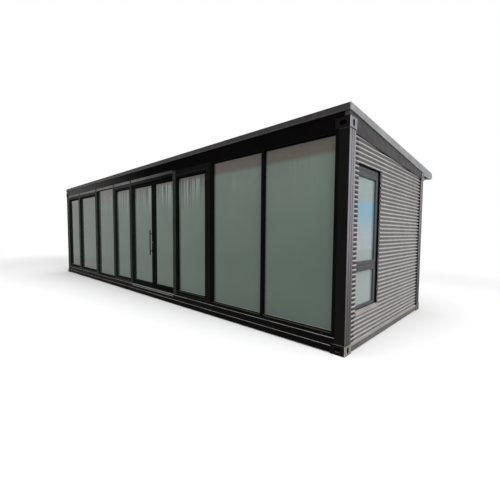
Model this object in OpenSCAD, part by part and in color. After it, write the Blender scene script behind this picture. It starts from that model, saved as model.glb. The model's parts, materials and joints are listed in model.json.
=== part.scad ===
// Glazed container cabin: a ten metre steel frame with lifting corner castings, a glass front
// with a double door, corrugated end and back walls, and a single-pitch roof that falls to the back.
// The front faces -Y. The origin is on the ground, under the middle of the whole footprint with
// its back eave. The modules draw the steel frame centred on the origin, and placed() moves it there.
// Places along the front are counted from the right-hand (+X) end of the cabin.

/* [Overall] */
// Length of the steel frame over its corner castings
cabin_l = 10000; // [8000:10:13000]
// Depth of the steel frame over its corner castings
cabin_d = 3000; // [2400:10:3700]
// Height of the sloping frame top at the front face
frame_h = 2650; // [2200:5:3300]
// Fall of the roof towards the back, in degrees
roof_pitch = 3.7; // [2:0.1:6]

/* [Corner castings] */
// Length of a casting along the cabin
casting_l = 178; // [150:1:200]
// Depth of a casting across the cabin
casting_d = 162; // [150:1:200]
// Height of a casting
casting_h = 118; // [95:1:145]
// How far the castings stand out past the posts and rails
casting_proud = 8; // [4:1:20]
// Depth of the lifting holes in a casting
casting_hole_depth = 45; // [30:1:48]
// Width of the oval hole in the front and back faces of a casting
casting_oval_w = 80; // [60:1:90]
// Height of the oval hole
casting_oval_h = 51; // [40:1:56]
// Width of the upright slot in the end faces of a casting
casting_slot_w = 44; // [30:1:50]
// Height of the upright slot
casting_slot_h = 76; // [60:1:84]

/* [Frame] */
// Face width of a corner post
post_w = 125; // [100:1:160]
// Width of the shallow folds in the end face of a corner post
post_fold_w = 12; // [8:1:20]
// Depth of those folds
post_fold_depth = 5; // [3:1:8]
// Width of the base and top rails
rail_w = 110; // [80:1:130]
// How far the front and back top rails reach below their castings
rail_drop = 5; // [0:1:30]
// Height of the sloping end rails where they start at the front
end_rail_front_h = 150; // [120:1:180]
// Height of the sloping end rails where they end at the back
end_rail_back_h = 110; // [90:1:140]
// Gap between the ground and the underside of the base rails
rail_clear = 12; // [5:1:30]
// Height of the base rails, whose tops may lie under the tops of their castings
base_rail_h = 82; // [70:1:100]
// How far the top lip of the base rails and sill stands out
lip_out = 6; // [3:1:8]
// Thickness of that lip
lip_t = 6; // [4:1:12]

/* [Floor] */
// Width of a floor joist
joist_w = 60; // [40:1:80]
// Wanted spacing of the floor joists
joist_pitch = 600; // [400:10:900]
// Thickness of the floor deck
deck_t = 20; // [15:1:30]
// Least width of the deck that bears on a base rail
deck_bearing = 9; // [6:1:30]

/* [Walls] */
// Thickness of an insulated wall panel
panel_t = 75; // [50:1:90]
// Depth of the waves in the corrugated sheet
wave_depth = 16; // [10:1:22]
// How far the sheet's crests lie behind the post faces
sheet_inset = 10; // [6:1:16]

/* [Glazing] */
// Face width of the window profiles
bar_w = 45; // [35:1:55]
// Depth of the window profiles
bar_d = 70; // [60:1:80]
// How far the window frames sit behind the post faces
bar_inset = 4; // [0:1:12]
// Thickness of a sealed glass unit
glass_t = 24; // [18:1:28]
// How far the glass sits behind the post faces
glass_inset = 45; // [36:1:50]
// Height of the sill over the base rail
sill_h = 93; // [60:1:110]
// How far the heads over vents and doors hang below the top rail
head_drop = 98; // [70:1:150]
// Height of the head bar over the fixed lights
light_head_h = 24; // [20:1:45]
// Width of the thick column
column_w = 95; // [80:1:120]
// Width of the bar between the two wide fixed lights
slim_mullion_w = 40; // [30:1:60]
// Width of the mullions
mullion_w = 90; // [60:1:110]
// Width of the narrow mullions
narrow_mullion_w = 55; // [45:1:80]
// Width of the mullion that carries the right door leaf
door_mullion_w = 100; // [80:1:120]
// Width of the tall vent between the column and the door
vent_a_w = 916; // [700:1:1000]
// Width of the vent beside the left door leaf
vent_b_w = 865; // [700:1:1000]
// Width of the fixed light between the vents
light_w = 1124; // [900:1:1300]
// Width of the wide vent
vent_c_w = 1308; // [1000:1:1450]
// Width of the vent at the left end
vent_d_w = 990; // [800:1:1150]

/* [Door] */
// Width of the right leaf
right_leaf_w = 784; // [650:1:950]
// Width of the left leaf, which carries the pull handles
left_leaf_w = 914; // [750:1:1000]
// Thickness of a leaf
leaf_t = 50; // [44:1:54]
// Face width of a leaf's hinge stile and top rail
leaf_bar_w = 58; // [45:1:70]
// Face width of a leaf's meeting stile
leaf_meet_w = 78; // [65:1:95]
// Height of a leaf's bottom rail
leaf_kick_h = 85; // [70:1:120]
// Gap between a leaf and its frame
leaf_gap = 6; // [5:0.5:10]
// Gap between the two leaves
meet_gap = 10; // [10:0.5:14]
// Gap under and over a leaf
leaf_rise = 8; // [6:1:12]
// Thickness of the threshold plate
threshold_t = 6; // [4:1:10]
// Length of a pull handle
handle_l = 530; // [400:10:800]
// Height of the pull handles' centre
handle_z = 1160; // [1000:5:1300]
// Diameter of the pull handles' bars
handle_dia = 22; // [18:1:32]
// How far the pull handles stand off the leaf
handle_off = 58; // [45:1:70]
// Radius of a hinge barrel
barrel_r = 8; // [6:0.5:9]
// Height of a hinge
hinge_h = 120; // [90:2:160]

/* [End window] */
// Distance of the window opening from the front of the cabin
window_from_front = 290; // [260:5:600]
// Width of the window opening
window_w = 700; // [500:5:1000]
// Height of the bottom of the window opening
window_sill_z = 440; // [300:5:900]
// Distance from the end rail down to the window opening
window_head_drop = 250; // [150:5:500]
// Height of the middle of the transom over the opening's bottom
window_transom_up = 535; // [400:5:700]
// Height of the transom
window_transom_h = 90; // [60:1:110]
// Depth of the window frame
window_frame_d = 59; // [50:1:65]
// Height of the window's head bar
window_head_h = 85; // [50:1:100]
// Thickness of the reveal lining
reveal_t = 6; // [3:1:10]

/* [Roof] */
// Height of the rafters, square to the ground
rafter_h = 52; // [30:1:80]
// Width of a rafter
rafter_w = 60; // [40:1:80]
// Number of rafters
rafter_n = 9; // [7:1:13]
// Thickness of the roof panel, square to the ground
roof_t = 76; // [60:1:110]
// How far the back eave stands out past the frame
eave_out = 560; // [300:10:700]
// Height of the rounded back eave
eave_h = 124; // [100:1:150]
// Depth of the box behind the rounded back eave
eave_box_d = 200; // [150:5:260]
// Thickness of the roof's edge trims
trim_t = 12; // [6:1:20]
// Thickness of the ceiling lining
ceiling_t = 12; // [9:1:20]

/* [Hidden] */

half_l = cabin_l / 2;
half_d = cabin_d / 2;
slope = tan(roof_pitch);
// hair gap that keeps two sloping faces from crossing where they seat
seat_gap = 0.05;

// faces counted inwards from the castings
face = casting_proud;
post_x = half_l - face - post_w;
post_y = half_d - casting_d;
rail_in_x = half_l - face - rail_w;
rail_in_y = half_d - face - rail_w;
rail_top = rail_clear + base_rail_h;
casting_x = half_l - casting_l;

// heights that follow the roof slope, at a distance y from the middle of the cabin
function frame_top(y) = frame_h - (y + half_d) * slope;
function roof_under(y) = frame_top(y) + rafter_h;
function roof_top(y) = roof_under(y) + roof_t;
front_casting_top = frame_top(-post_y);
back_casting_top = frame_top(half_d);
glaze_bottom = rail_top + sill_h;
glaze_top = front_casting_top - casting_h - rail_drop;
back_wall_top = back_casting_top - casting_h - rail_drop;
function end_wall_top(y) =
    let (share = (y + post_y) / (2 * post_y))
    frame_top(y) - end_rail_front_h * (1 - share) - end_rail_back_h * share;

// wall layers, counted inwards from the castings
sheet_out = face + sheet_inset;
panel_out = sheet_out + wave_depth;
panel_in = panel_out + panel_t;
deck_in = min(panel_in, face + rail_w - deck_bearing);
deck_top = rail_top + deck_t;

// members of the front, counted from the right-hand end
function front_x(from_right) = half_l - from_right;
frame_start = face + post_w;
door_w = right_leaf_w + left_leaf_w + meet_gap + 2 * leaf_gap;
left_part = frame_start + mullion_w + vent_d_w + mullion_w + vent_c_w + mullion_w + light_w
    + narrow_mullion_w + vent_b_w + narrow_mullion_w;
door_at = cabin_l - left_part - door_w;
vent_a_at = door_at - door_mullion_w - vent_a_w;
column_at = vent_a_at - column_w;
wide_light_w = column_at - frame_start;
wide_glass_w = (wide_light_w - 2 * bar_w - slim_mullion_w) / 2;
vent_b_at = door_at + door_w + narrow_mullion_w;
light_at = vent_b_at + vent_b_w + narrow_mullion_w;
vent_c_at = light_at + light_w + mullion_w;
vent_d_at = vent_c_at + vent_c_w + mullion_w;

// depths of the window profiles and the glass
bar_y0 = -half_d + face + bar_inset;
bar_y1 = bar_y0 + bar_d;
glass_y0 = -half_d + face + glass_inset;
glass_y1 = glass_y0 + glass_t;

// start and width of each vent
vents = [
    [vent_a_at, vent_a_w], [vent_b_at, vent_b_w], [vent_c_at, vent_c_w], [vent_d_at, vent_d_w]
];
vent_bottom = glaze_bottom + bar_w;
vent_top = glaze_top - head_drop;

// door
leaf_y = -half_d + face + glass_inset;
leaf_bottom = glaze_bottom + threshold_t + leaf_rise;
door_head_z = glaze_top - head_drop + leaf_rise;
leaf_top = door_head_z - leaf_rise;
right_leaf_x = front_x(door_at + leaf_gap);
left_leaf_x = front_x(door_at + door_w - leaf_gap);
leaf_glass_in = 13;
hinge_axis_in = 13;
hinge_axis_out = 10;
hinge_pin_r = 4;
hinge_play = 0.05;
hinge_plate_t = 4;
hinge_plate_w = 34;
hinge_end_gap = 2;
hinge_zs = [leaf_bottom + 200, (leaf_bottom + leaf_top) / 2, leaf_top - 200];
right_axis_x = front_x(door_at + hinge_axis_in);
left_axis_x = front_x(door_at + door_w - hinge_axis_in);
axis_y = leaf_y - hinge_axis_out;

// end window
window_y0 = -half_d + window_from_front;
window_y1 = window_y0 + window_w;
window_top = end_wall_top(window_y1) - window_head_drop;
window_in_x = half_l - panel_in;
window_out_x = window_in_x + window_frame_d;
window_side_w = 42;
window_foot_h = 34;
window_transom_z = window_sill_z + window_transom_up - window_transom_h / 2;
window_glass_t = 20;

// roof
eave_y = half_d + eave_out;
nose_r = eave_h / 2;
eave_bottom = roof_top(eave_y) - eave_h;
eave_box_y = eave_y - eave_box_d;
trim_back_h = 124;

black_steel = [0.09, 0.085, 0.085];
dark_steel = [0.2, 0.2, 0.2];
sheet_grey = [0.62, 0.6, 0.59];
trim_grey = [0.66, 0.67, 0.68];
frame_grey = [0.16, 0.18, 0.17];
film_glass = [0.42, 0.48, 0.44];

// box between two corners
module block(low, high) {
    translate(low) cube(high - low);
}

// outline in Y and Z, drawn out along X
module prism(x0, x1, outline) {
    translate([x0, 0, 0]) rotate([90, 0, 90]) linear_extrude(x1 - x0) polygon(outline);
}

// rectangular ring in X and Z, with bars of their own width on each side
module ring(x0, x1, z0, z1, y0, y1, left, right, foot, head) {
    difference() {
        block([x0, y0, z0], [x1, y1, z1]);
        block([x0 + left, y0 - 1, z0 + foot], [x1 - right, y1 + 1, z1 - head]);
    }
}

// slotted hole, drawn out along +Z from the origin
module slot_hole(length, width, depth) {
    linear_extrude(depth) {
        square([length - width, width], center = true);
        for (side = [-1, 1]) translate([side * (length - width) / 2, 0]) circle(d = width, $fn = 32);
    }
}

// casting in the +X, +Y corner, standing on z
module casting(z) {
    hole_z = z + casting_h / 2;
    difference() {
        block([half_l - casting_l, half_d - casting_d, z], [half_l, half_d, z + casting_h]);
        translate([half_l - casting_l / 2, half_d + 1, hole_z])
            rotate([90, 0, 0]) slot_hole(casting_oval_w, casting_oval_h, casting_hole_depth + 1);
        translate([half_l + 1, half_d - casting_d / 2, hole_z])
            rotate([0, -90, 0]) slot_hole(casting_slot_h, casting_slot_w, casting_hole_depth + 1);
    }
}

module base_castings() {
    color(black_steel) for (sx = [0, 1], sy = [0, 1]) mirror([sx, 0, 0]) mirror([0, sy, 0]) casting(0);
}

module top_castings() {
    color(black_steel) for (sx = [0, 1]) mirror([sx, 0, 0]) {
        casting(back_casting_top - casting_h);
        mirror([0, 1, 0]) casting(front_casting_top - casting_h);
    }
}

// corner post in the +X, +Y corner, with two folds down its end face
module post(height) {
    outer = half_l - face;
    width = casting_d - face;
    difference() {
        block([post_x, post_y, casting_h], [outer, half_d - face, height]);
        for (share = [1, 2]) {
            fold_y = post_y + width * share / 3;
            block([outer - post_fold_depth, fold_y - post_fold_w / 2, casting_h - 1],
                [outer + 1, fold_y + post_fold_w / 2, height + 1]);
        }
    }
}

module front_posts() {
    color(black_steel) for (sx = [0, 1])
        mirror([sx, 0, 0]) mirror([0, 1, 0]) post(front_casting_top - casting_h);
}

module back_posts() {
    color(black_steel) for (sx = [0, 1]) mirror([sx, 0, 0]) post(back_casting_top - casting_h);
}

// base rail along the front, with a lip along its top edge
module long_base_rail() {
    front = -half_d + face;
    prism(-casting_x, casting_x, [
        [front, rail_clear], [-rail_in_y, rail_clear], [-rail_in_y, rail_top],
        [front - lip_out, rail_top], [front - lip_out, rail_top - lip_t], [front, rail_top - lip_t]
    ]);
}

module front_base_rail() {
    color(black_steel) long_base_rail();
}

module back_base_rail() {
    color(black_steel) mirror([0, 1, 0]) long_base_rail();
}

module end_base_rails() {
    outer = half_l - face;
    color(dark_steel) for (sx = [0, 1]) mirror([sx, 0, 0])
        block([rail_in_x, -post_y, rail_clear], [outer, post_y, rail_top]);
}

module front_top_rail() {
    front = -half_d + face;
    color(black_steel) prism(-casting_x, casting_x, [
        [front, glaze_top], [-rail_in_y, glaze_top],
        [-rail_in_y, frame_top(-rail_in_y)], [front, frame_top(front)]
    ]);
}

module back_top_rail() {
    back = half_d - face;
    color(black_steel) prism(-casting_x, casting_x, [
        [rail_in_y, back_wall_top], [back, back_wall_top],
        [back, frame_top(back)], [rail_in_y, frame_top(rail_in_y)]
    ]);
}

module end_top_rails() {
    outer = half_l - face;
    color(dark_steel) for (sx = [0, 1]) mirror([sx, 0, 0]) prism(rail_in_x, outer, [
        [-post_y, end_wall_top(-post_y)], [post_y, end_wall_top(post_y)],
        [post_y, frame_top(post_y)], [-post_y, frame_top(-post_y)]
    ]);
}

module floor_joists() {
    reach = 2 * rail_in_x - joist_w;
    gaps = ceil(reach / joist_pitch);
    color(black_steel) for (i = [1:gaps - 1]) {
        x = -reach / 2 + i * reach / gaps;
        block([x - joist_w / 2, -rail_in_y, rail_clear], [x + joist_w / 2, rail_in_y, rail_top]);
    }
}

// cuts the room of the four corner castings out of a piece, up to a height
module corner_notches(top) {
    for (sx = [0, 1], sy = [0, 1]) mirror([sx, 0, 0]) mirror([0, sy, 0])
        block([casting_x, post_y, -1], [half_l, half_d, top]);
}

module deck_board() {
    reach = half_l - deck_in;
    block([-reach, -rail_in_y, rail_top], [reach, half_d - deck_in, deck_top]);
}

module floor_deck() {
    color("burlywood") difference() {
        deck_board();
        corner_notches(frame_h);
    }
}

// lining that follows the roof slope between the top rails
module ceiling_board() {
    back_z = glaze_top - 2 * rail_in_y * slope;
    prism(-rail_in_x, rail_in_x, [
        [-rail_in_y, glaze_top], [rail_in_y, back_z],
        [rail_in_y, back_z + ceiling_t], [-rail_in_y, glaze_top + ceiling_t]
    ]);
}

module ceiling() {
    color("whitesmoke") difference() {
        ceiling_board();
        corner_notches(frame_h);
    }
}

// a wall panel thicker than its rails is cut round the edges of the deck and the ceiling
module wall_panel() {
    color("gainsboro") difference() {
        children();
        deck_board();
        ceiling_board();
    }
}

// slice of the back wall between two depths, cut round the tops of the base castings
module back_slice(inset0, inset1) {
    difference() {
        block([-post_x, half_d - inset1, rail_top], [post_x, half_d - inset0, back_wall_top]);
        corner_notches(casting_h);
    }
}

module back_wall() {
    wall_panel() back_slice(panel_out, panel_in);
}

module back_cladding() {
    color(sheet_grey) back_slice(sheet_out, panel_out);
}

// slice of the right end wall between two depths, from a height up to the end rail
module end_slice(inset0, inset1, y0, y1, z0) {
    prism(half_l - inset1, half_l - inset0, [
        [y0, z0], [y1, z0], [y1, end_wall_top(y1) - seat_gap], [y0, end_wall_top(y0) - seat_gap]
    ]);
}

module left_wall() {
    mirror([1, 0, 0]) wall_panel() end_slice(panel_out, panel_in, -post_y, post_y, rail_top);
}

module left_cladding() {
    color(sheet_grey) mirror([1, 0, 0]) end_slice(sheet_out, panel_out, -post_y, post_y, rail_top);
}

module right_wall() {
    wall_panel() {
        end_slice(panel_out, panel_in, -post_y, window_y0, rail_top);
        end_slice(panel_out, panel_in, window_y1, post_y, rail_top);
    }
}

module right_wall_infill() {
    wall_panel() {
        block([half_l - panel_in, window_y0, rail_top], [half_l - panel_out, window_y1, window_sill_z]);
        end_slice(panel_out, panel_in, window_y0, window_y1, window_top);
    }
}

module right_cladding() {
    color(sheet_grey) difference() {
        end_slice(sheet_out, panel_out, -post_y, post_y, rail_top);
        block([half_l - panel_out - 1, window_y0, window_sill_z], [half_l, window_y1, window_top]);
    }
}

// frame of the end window, with a transom across it
module window_frame() {
    color(frame_grey) {
        difference() {
            block([window_in_x, window_y0, window_sill_z], [window_out_x, window_y1, window_top]);
            block([window_in_x - 1, window_y0 + window_side_w, window_sill_z + window_foot_h],
                [window_out_x + 1, window_y1 - window_side_w, window_transom_z]);
            block([window_in_x - 1, window_y0 + window_side_w, window_transom_z + window_transom_h],
                [window_out_x + 1, window_y1 - window_side_w, window_top - window_head_h]);
        }
    }
}

module window_glass() {
    mid = (window_in_x + window_out_x) / 2;
    color([0.6, 0.75, 0.76, 0.5])
        for (span = [[window_sill_z + window_foot_h, window_transom_z],
            [window_transom_z + window_transom_h, window_top - window_head_h]])
            block([mid - window_glass_t / 2, window_y0 + window_side_w, span[0]],
                [mid + window_glass_t / 2, window_y1 - window_side_w, span[1]]);
}

// lining of the outer reveal, with a sill flashing under it
module window_trim() {
    outer = half_l - sheet_out;
    sill_drop = 36;
    sill_out = 6;
    color(trim_grey) {
        difference() {
            block([window_out_x, window_y0, window_sill_z], [outer, window_y1, window_top]);
            block([window_out_x - 1, window_y0 + reveal_t, window_sill_z + reveal_t],
                [outer + 1, window_y1 - reveal_t, window_top - reveal_t]);
        }
        block([outer, window_y0, window_sill_z - sill_drop],
            [outer + sill_out, window_y1, window_sill_z + reveal_t]);
    }
}

module front_sill() {
    front = -half_d + face;
    color(black_steel) difference() {
        prism(-post_x, post_x, [
            [front, rail_top], [-rail_in_y, rail_top], [-rail_in_y, glaze_bottom],
            [front - lip_out, glaze_bottom], [front - lip_out, glaze_bottom - lip_t],
            [front, glaze_bottom - lip_t]
        ]);
        corner_notches(casting_h);
    }
}

// upright member of the front, at a distance from the right-hand end
module upright(at, width) {
    block([front_x(at + width), -half_d + face, glaze_bottom], [front_x(at), -rail_in_y, glaze_top]);
}

module front_column() {
    color(black_steel) upright(column_at, column_w);
}

module mullions() {
    color(frame_grey) {
        upright(door_at - door_mullion_w, door_mullion_w);
        upright(door_at + door_w, narrow_mullion_w);
        upright(light_at - narrow_mullion_w, narrow_mullion_w);
        upright(vent_c_at - mullion_w, mullion_w);
        upright(vent_d_at - mullion_w, mullion_w);
        upright(vent_d_at + vent_d_w, mullion_w);
    }
}

// bars over and under each vent
module glazing_heads() {
    color(frame_grey) for (v = vents) {
        block([front_x(v[0] + v[1]), bar_y0, vent_top], [front_x(v[0]), -rail_in_y, glaze_top]);
        block([front_x(v[0] + v[1]), bar_y0, glaze_bottom], [front_x(v[0]), -rail_in_y, vent_bottom]);
    }
}

module fixed_light_frames() {
    split_at = frame_start + bar_w + wide_glass_w;
    color(frame_grey) {
        ring(front_x(column_at), front_x(frame_start), glaze_bottom, glaze_top, bar_y0, bar_y1,
            bar_w, bar_w, bar_w, light_head_h);
        block([front_x(split_at + slim_mullion_w), bar_y0, glaze_bottom + bar_w],
            [front_x(split_at), bar_y1, glaze_top - light_head_h]);
        ring(front_x(light_at + light_w), front_x(light_at), glaze_bottom, glaze_top, bar_y0, bar_y1,
            bar_w, bar_w, bar_w, light_head_h);
    }
}

// glass that fills a framed opening between two heights
module pane(at, width, z0, z1) {
    block([front_x(at + width), glass_y0, z0], [front_x(at), glass_y1, z1]);
}

module fixed_light_glass() {
    z0 = glaze_bottom + bar_w;
    z1 = glaze_top - light_head_h;
    color(film_glass) {
        pane(frame_start + bar_w, wide_glass_w, z0, z1);
        pane(frame_start + bar_w + wide_glass_w + slim_mullion_w, wide_glass_w, z0, z1);
        pane(light_at + bar_w, light_w - 2 * bar_w, z0, z1);
    }
}

module vent_frames() {
    color(frame_grey) for (v = vents)
        ring(front_x(v[0] + v[1]), front_x(v[0]), vent_bottom, vent_top, bar_y0, bar_y1,
            bar_w, bar_w, bar_w, bar_w);
}

module vent_glass() {
    color(film_glass) for (v = vents)
        pane(v[0] + bar_w, v[1] - 2 * bar_w, vent_bottom + bar_w, vent_top - bar_w);
}

module door_head() {
    color(frame_grey) block([front_x(door_at + door_w), bar_y0, door_head_z],
        [front_x(door_at), -rail_in_y, glaze_top]);
}

// plate on the sill under the leaves, and a strip across the face of the sill
module door_threshold() {
    front = -half_d + face;
    strip_z = rail_top + 60;
    color("silver") {
        block([front_x(door_at + door_w), front - lip_out, glaze_bottom],
            [front_x(door_at), -rail_in_y, glaze_bottom + threshold_t]);
        block([front_x(door_at + door_w), front - lip_out, strip_z],
            [front_x(door_at), front, strip_z + threshold_t]);
    }
}

// fixed half of a hinge on the right jamb: plate, lower barrel and pin
module jamb_hinge(z) {
    jamb_x = front_x(door_at);
    low = z - hinge_h / 2;
    top = z - hinge_end_gap;
    block([jamb_x - hinge_plate_t, axis_y - barrel_r, low], [jamb_x, axis_y + barrel_r, top]);
    block([right_axis_x, axis_y - hinge_plate_t / 2, low], [jamb_x, axis_y + hinge_plate_t / 2, top]);
    translate([right_axis_x, axis_y, low]) cylinder(r = barrel_r, h = top - low, $fn = 48);
    translate([right_axis_x, axis_y, low]) cylinder(r = hinge_pin_r, h = hinge_h, $fn = 48);
}

// moving half of a hinge on the right leaf: upper barrel and the plate on the leaf's face
module leaf_hinge(z) {
    top = z + hinge_h / 2;
    difference() {
        union() {
            translate([right_axis_x, axis_y, z]) cylinder(r = barrel_r, h = hinge_h / 2, $fn = 48);
            block([right_axis_x - hinge_plate_w, leaf_y - hinge_plate_t, z], [right_axis_x, leaf_y, top]);
        }
        translate([right_axis_x, axis_y, z - 1]) cylinder(r = hinge_pin_r + hinge_play, h = hinge_h, $fn = 48);
    }
}

// moves what is drawn for the right leaf to the left side of the opening
module at_left() {
    translate([left_axis_x + right_axis_x, 0, 0]) mirror([1, 0, 0]) children();
}

module jamb_hinges() {
    color("dimgray") for (z = hinge_zs) {
        jamb_hinge(z);
        at_left() jamb_hinge(z);
    }
}

// leaf frame drawn at the right of the opening, with its hinges
module leaf_frame(width) {
    color(frame_grey) {
        ring(right_leaf_x - width, right_leaf_x, leaf_bottom, leaf_top, leaf_y, leaf_y + leaf_t,
            leaf_meet_w, leaf_bar_w, leaf_kick_h, leaf_bar_w);
        for (z = hinge_zs) leaf_hinge(z);
    }
}

module leaf_glass(width) {
    color(film_glass)
        block([right_leaf_x - width + leaf_meet_w, leaf_y + leaf_glass_in, leaf_bottom + leaf_kick_h],
            [right_leaf_x - leaf_bar_w, leaf_y + leaf_glass_in + glass_t, leaf_top - leaf_bar_w]);
}

module right_leaf_frame() {
    leaf_frame(right_leaf_w);
}

module right_leaf_glass() {
    leaf_glass(right_leaf_w);
}

module left_leaf_frame() {
    at_left() leaf_frame(left_leaf_w);
}

module left_leaf_glass() {
    at_left() leaf_glass(left_leaf_w);
}

// bar on two arms, standing off a face at y towards -Y
module pull_handle(x, y) {
    arm_z = handle_l / 2 - 85;
    arm_r = 7;
    translate([x, y - handle_off, handle_z - handle_l / 2]) cylinder(d = handle_dia, h = handle_l, $fn = 32);
    for (side = [-1, 1]) translate([x, y, handle_z + side * arm_z])
        rotate([90, 0, 0]) cylinder(r = arm_r, h = handle_off, $fn = 24);
}

// outer and inner bars on the left leaf's meeting stile, and the lock between their arms
module pull_handles() {
    x = left_leaf_x + left_leaf_w - leaf_meet_w / 2 - 8;
    lock_x = x + 18;
    lock_r = 14;
    lock_out = 8;
    back = leaf_y + leaf_t;
    color("black") {
        pull_handle(x, leaf_y);
        translate([0, back, 0]) mirror([0, 1, 0]) pull_handle(x, 0);
        translate([lock_x, leaf_y, handle_z]) rotate([90, 0, 0]) cylinder(r = lock_r, h = lock_out, $fn = 32);
    }
}

// rafter between the frame top and the roof panel
module rafter(x, y0, y1) {
    prism(x - rafter_w / 2, x + rafter_w / 2, [
        [y0, frame_top(y0) + seat_gap], [y1, frame_top(y1) + seat_gap],
        [y1, roof_under(y1) - seat_gap], [y0, roof_under(y0) - seat_gap]
    ]);
}

beam_reach = half_l - trim_t - rafter_w;

module roof_rafters() {
    outer = half_d - face;
    inner = outer - rafter_w;
    end_x = beam_reach + rafter_w / 2;
    color(dark_steel) {
        for (side = [-1, 1]) rafter(side * end_x, -outer, outer);
        for (i = [1:rafter_n - 2]) rafter(-end_x + i * 2 * end_x / (rafter_n - 1), -inner, inner);
    }
}

module eaves_beams() {
    outer = half_d - face;
    inner = outer - rafter_w;
    color(dark_steel) for (span = [[-outer, -inner], [inner, outer]])
        prism(-beam_reach, beam_reach, [
            [span[0], frame_top(span[0]) + seat_gap], [span[1], frame_top(span[1]) + seat_gap],
            [span[1], roof_under(span[1]) - seat_gap], [span[0], roof_under(span[0]) - seat_gap]
        ]);
}

module roof_panel() {
    y0 = -half_d + trim_t;
    color(sheet_grey) prism(-half_l + trim_t, half_l - trim_t, [
        [y0, roof_under(y0)], [eave_box_y, roof_under(eave_box_y)],
        [eave_box_y, roof_top(eave_box_y)], [y0, roof_top(y0)]
    ]);
}

// plain fascia along the front of the roof
module front_fascia() {
    y0 = -half_d;
    y1 = -half_d + trim_t;
    color(dark_steel) prism(-half_l + trim_t, half_l - trim_t, [
        [y0, roof_under(y0)], [y1, roof_under(y1)], [y1, roof_top(y1)], [y0, roof_top(y0)]
    ]);
}

// rounded outline of the back eave, from a depth y0 to its nose
function nose(y0) = concat(
    [[y0, eave_bottom]],
    [for (a = [-90:10:90]) [eave_y - nose_r + nose_r * cos(a), eave_bottom + nose_r + nose_r * sin(a)]],
    [[y0, roof_top(y0)]]
);

module roof_end_trims() {
    y0 = -half_d;
    outline = concat(
        [[y0, roof_under(y0)], [half_d, roof_top(half_d) - trim_back_h]],
        nose(half_d + trim_t),
        [[y0, roof_top(y0)]]
    );
    color(trim_grey) for (sx = [0, 1]) mirror([sx, 0, 0]) prism(half_l - trim_t, half_l, outline);
}

module rear_eave() {
    color(trim_grey) prism(-half_l + trim_t, half_l - trim_t, nose(eave_box_y));
}

// brings the middle of the footprint, with the back eave, over the origin
module placed() {
    translate([0, -eave_out / 2, 0]) children();
}

placed() base_castings();
placed() top_castings();
placed() front_posts();
placed() back_posts();
placed() front_base_rail();
placed() back_base_rail();
placed() end_base_rails();
placed() front_top_rail();
placed() back_top_rail();
placed() end_top_rails();
placed() floor_joists();
placed() floor_deck();
placed() ceiling();
placed() back_wall();
placed() back_cladding();
placed() left_wall();
placed() left_cladding();
placed() right_wall();
placed() right_wall_infill();
placed() right_cladding();
placed() window_frame();
placed() window_glass();
placed() window_trim();
placed() front_sill();
placed() front_column();
placed() mullions();
placed() glazing_heads();
placed() fixed_light_frames();
placed() fixed_light_glass();
placed() vent_frames();
placed() vent_glass();
placed() door_head();
placed() door_threshold();
placed() jamb_hinges();
placed() right_leaf_frame();
placed() right_leaf_glass();
placed() left_leaf_frame();
placed() left_leaf_glass();
placed() pull_handles();
placed() roof_rafters();
placed() eaves_beams();
placed() roof_panel();
placed() front_fascia();
placed() roof_end_trims();
placed() rear_eave();
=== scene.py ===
"""Looks of the glazed container cabin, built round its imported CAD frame.

Everything is in metres in the frame of the CAD: the glass front faces -Y, the right end +X.
"""

import json
import math

import bmesh
import bpy
from mathutils import Matrix, Vector


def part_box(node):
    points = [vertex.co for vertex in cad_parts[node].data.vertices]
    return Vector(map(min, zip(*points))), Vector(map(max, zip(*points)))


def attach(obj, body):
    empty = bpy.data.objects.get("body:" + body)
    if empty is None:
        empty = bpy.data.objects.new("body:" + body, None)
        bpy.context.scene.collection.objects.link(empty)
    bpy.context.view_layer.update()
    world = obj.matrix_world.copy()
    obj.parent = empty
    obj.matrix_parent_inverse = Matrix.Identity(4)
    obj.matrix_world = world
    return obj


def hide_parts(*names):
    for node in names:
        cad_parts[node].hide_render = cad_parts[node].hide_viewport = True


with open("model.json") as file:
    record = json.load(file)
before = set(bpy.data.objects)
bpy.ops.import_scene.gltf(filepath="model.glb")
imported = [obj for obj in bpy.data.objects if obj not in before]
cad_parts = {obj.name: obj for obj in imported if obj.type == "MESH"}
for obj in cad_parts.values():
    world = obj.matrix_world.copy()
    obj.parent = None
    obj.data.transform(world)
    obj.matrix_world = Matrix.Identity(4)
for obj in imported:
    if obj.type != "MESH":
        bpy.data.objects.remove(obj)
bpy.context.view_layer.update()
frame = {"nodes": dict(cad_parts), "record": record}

MM = 0.001
WAVE_PITCH = 54 * MM
SHEET_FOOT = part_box("right_cladding")[0].z
EDGE_ANGLE = math.radians(35)


# ---------------- places read from the frame

def welded(node):
    """The CAD node's mesh with its corners joined."""
    bm = bmesh.new()
    bm.from_mesh(frame["nodes"][node].data)
    bmesh.ops.remove_doubles(bm, verts=bm.verts, dist=0.01 * MM)
    return bm


def solids(node):
    """Low and high corner of each separate solid of a CAD node, from right (+X) to left."""
    bm = welded(node)
    seen, boxes = set(), []
    for start in bm.verts:
        if start in seen:
            continue
        island, open_ends = [], [start]
        seen.add(start)
        while open_ends:
            vert = open_ends.pop()
            island.append(vert.co)
            for edge in vert.link_edges:
                other = edge.other_vert(vert)
                if other not in seen:
                    seen.add(other)
                    open_ends.append(other)
        boxes.append([Vector(side(co[axis] for co in island) for axis in range(3)) for side in (min, max)])
    bm.free()
    return sorted(boxes, key=lambda box: -box[1].x)


def top_slope(node):
    """Height of a node's sloping top at its front edge, and its rise per metre towards +Y."""
    verts = [v.co for v in frame["nodes"][node].data.vertices]
    front, back = min(v.y for v in verts), max(v.y for v in verts)
    front_z = max(v.z for v in verts if v.y < front + MM)
    back_z = max(v.z for v in verts if v.y > back - MM)
    return front_z, (back_z - front_z) / (back - front)


# ---------------- materials

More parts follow.
